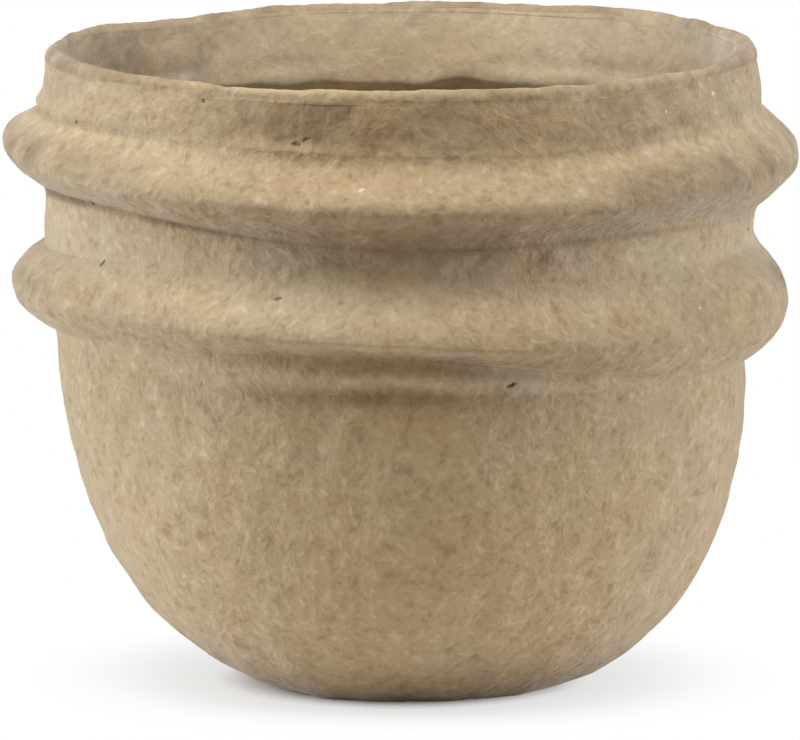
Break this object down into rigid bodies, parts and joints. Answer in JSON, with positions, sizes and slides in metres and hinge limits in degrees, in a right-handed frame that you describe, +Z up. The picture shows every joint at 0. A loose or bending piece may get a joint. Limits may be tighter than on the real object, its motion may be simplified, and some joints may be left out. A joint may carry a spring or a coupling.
{
  "type": "papier mache planter",
  "caption": "Round papier mache planter with a bowl-shaped body, two hand-rolled ribs below an open mouth, and a loose waterproof liner that lifts out.",
  "frame": {"origin": "on the floor, under the middle of the ribs", "axes": "+Z up, +X towards the side where the ribs sag, -Y towards the viewer"},
  "size_m": [0.3494, 0.3494, 0.2831],
  "materials": {
    "pulp": "rough dried paper pulp, natural brown",
    "binding": "rough pasted paper strip, natural brown",
    "liner": "milky moulded plastic, matte"
  },
  "bodies": {
    "pot": {"bowl": "pulp", "lower_collar": "pulp", "upper_collar": "pulp", "rim_binding": "binding"},
    "liner": {"liner": "liner"}
  },
  "joints": [
    {"name": "liner_lift", "type": "slide", "parent": "pot", "child": "liner", "axis": [0, 0, 1], "range_m": [0, 0.3]}
  ]
}
